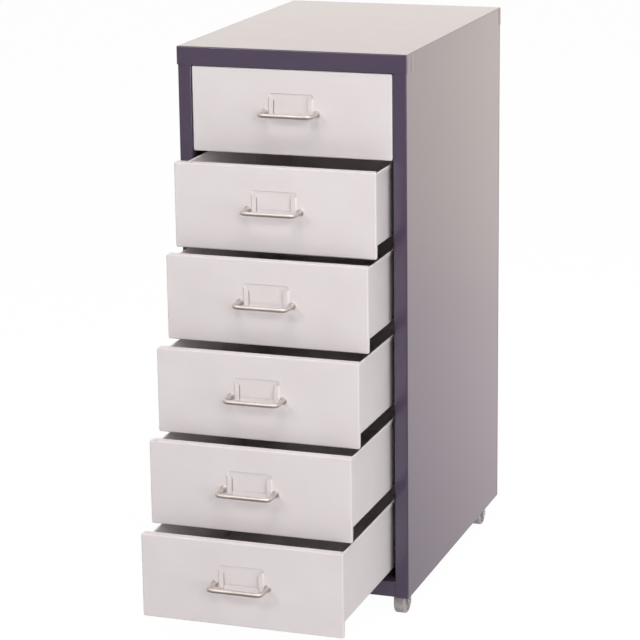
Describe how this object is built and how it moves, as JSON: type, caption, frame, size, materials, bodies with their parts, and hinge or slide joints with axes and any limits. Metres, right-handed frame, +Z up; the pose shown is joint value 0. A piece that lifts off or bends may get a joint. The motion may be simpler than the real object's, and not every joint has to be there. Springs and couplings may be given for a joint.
{
  "type": "small metal drawer cabinet",
  "caption": "Slim folded-steel drawer cabinet on swivel casters, with flush drawers on channel runners, wire pulls and pressed label holders.",
  "frame": {"origin": "on the floor, at the middle of the bounding box's underside with the drawers pulled out as drawn", "axes": "+X to the right seen from the front, +Y to the back, +Z up"},
  "size_m": [0.283, 0.6302, 0.69],
  "materials": {
    "case_paint": "gloss dark plum paint",
    "drawer_paint": "satin off-white paint",
    "pull_wire": "bright nickel plate",
    "zinc_steel": "zinc plate",
    "wheel_plastic": "translucent grey plastic"
  },
  "bodies": {
    "cabinet": {"top_panel": "case_paint", "base_panel": "case_paint", "back_panel": "case_paint", "side_panel_left": "case_paint", "side_panel_right": "case_paint", "keeper_left": "case_paint", "keeper_right": "case_paint", "runner_1_left": "case_paint", "runner_1_right": "case_paint", "runner_2_left": "case_paint", "runner_2_right": "case_paint", "runner_3_left": "case_paint", "runner_3_right": "case_paint", "runner_4_left": "case_paint", "runner_4_right": "case_paint", "runner_5_left": "case_paint", "runner_5_right": "case_paint", "runner_6_left": "case_paint", "runner_6_right": "case_paint", "back_screws": "zinc_steel", "top_screws": "zinc_steel", "caster_stems": "zinc_steel", "caster_nuts": "zinc_steel"},
    "drawer_1": {"drawer_1_shell": "drawer_paint", "drawer_1_floor": "drawer_paint", "drawer_1_back": "drawer_paint", "drawer_1_handle": "pull_wire"},
    "drawer_2": {"drawer_2_shell": "drawer_paint", "drawer_2_floor": "drawer_paint", "drawer_2_back": "drawer_paint", "drawer_2_handle": "pull_wire"},
    "drawer_3": {"drawer_3_shell": "drawer_paint", "drawer_3_floor": "drawer_paint", "drawer_3_back": "drawer_paint", "drawer_3_handle": "pull_wire"},
    "drawer_4": {"drawer_4_shell": "drawer_paint", "drawer_4_floor": "drawer_paint", "drawer_4_back": "drawer_paint", "drawer_4_handle": "pull_wire"},
    "drawer_5": {"drawer_5_shell": "drawer_paint", "drawer_5_floor": "drawer_paint", "drawer_5_back": "drawer_paint", "drawer_5_handle": "pull_wire"},
    "drawer_6": {"drawer_6_shell": "drawer_paint", "drawer_6_floor": "drawer_paint", "drawer_6_back": "drawer_paint", "drawer_6_handle": "pull_wire"},
    "fork_front_left": {"caster_front_left_fork": "zinc_steel", "caster_front_left_axle": "zinc_steel"},
    "wheel_front_left": {"caster_front_left_wheel": "wheel_plastic"},
    "fork_front_right": {"caster_front_right_fork": "zinc_steel", "caster_front_right_axle": "zinc_steel"},
    "wheel_front_right": {"caster_front_right_wheel": "wheel_plastic"},
    "fork_rear_left": {"caster_rear_left_fork": "zinc_steel", "caster_rear_left_axle": "zinc_steel"},
    "wheel_rear_left": {"caster_rear_left_wheel": "wheel_plastic"},
    "fork_rear_right": {"caster_rear_right_fork": "zinc_steel", "caster_rear_right_axle": "zinc_steel"},
    "wheel_rear_right": {"caster_rear_right_wheel": "wheel_plastic"}
  },
  "joints": [
    {"name": "drawer_1_slide", "type": "slide", "parent": "cabinet", "child": "drawer_1", "axis": [0, -1, 0], "range_m": [0, 0.3]},
    {"name": "drawer_2_slide", "type": "slide", "parent": "cabinet", "child": "drawer_2", "axis": [0, -1, 0], "range_m": [-0.0623, 0.2377]},
    {"name": "drawer_3_slide", "type": "slide", "parent": "cabinet", "child": "drawer_3", "axis": [0, -1, 0], "range_m": [-0.0935, 0.2065]},
    {"name": "drawer_4_slide", "type": "slide", "parent": "cabinet", "child": "drawer_4", "axis": [0, -1, 0], "range_m": [-0.1294, 0.1706]},
    {"name": "drawer_5_slide", "type": "slide", "parent": "cabinet", "child": "drawer_5", "axis": [0, -1, 0], "range_m": [-0.1594, 0.1406]},
    {"name": "drawer_6_slide", "type": "slide", "parent": "cabinet", "child": "drawer_6", "axis": [0, -1, 0], "range_m": [-0.1921, 0.1079]},
    {"name": "swivel_front_left", "type": "hinge", "parent": "cabinet", "child": "fork_front_left", "pos_m": [-0.1225, -0.06872, 0.0345], "axis": [0, 0, 1], "continuous": true},
    {"name": "roll_front_left", "type": "hinge", "parent": "fork_front_left", "child": "wheel_front_left", "pos_m": [-0.1225, -0.06123, 0.015], "axis": [1, 0, 0], "continuous": true},
    {"name": "swivel_front_right", "type": "hinge", "parent": "cabinet", "child": "fork_front_right", "pos_m": [0.1225, -0.06872, 0.0345], "axis": [0, 0, 1], "continuous": true},
    {"name": "roll_front_right", "type": "hinge", "parent": "fork_front_right", "child": "wheel_front_right", "pos_m": [0.1225, -0.06123, 0.015], "axis": [1, 0, 0], "continuous": true},
    {"name": "swivel_rear_left", "type": "hinge", "parent": "cabinet", "child": "fork_rear_left", "pos_m": [-0.1225, 0.28528, 0.0345], "axis": [0, 0, 1], "continuous": true},
    {"name": "roll_rear_left", "type": "hinge", "parent": "fork_rear_left", "child": "wheel_rear_left", "pos_m": [-0.1225, 0.27777, 0.015], "axis": [1, 0, 0], "continuous": true},
    {"name": "swivel_rear_right", "type": "hinge", "parent": "cabinet", "child": "fork_rear_right", "pos_m": [0.1225, 0.28528, 0.0345], "axis": [0, 0, 1], "continuous": true},
    {"name": "roll_rear_right", "type": "hinge", "parent": "fork_rear_right", "child": "wheel_rear_right", "pos_m": [0.1225, 0.27777, 0.015], "axis": [1, 0, 0], "continuous": true}
  ]
}
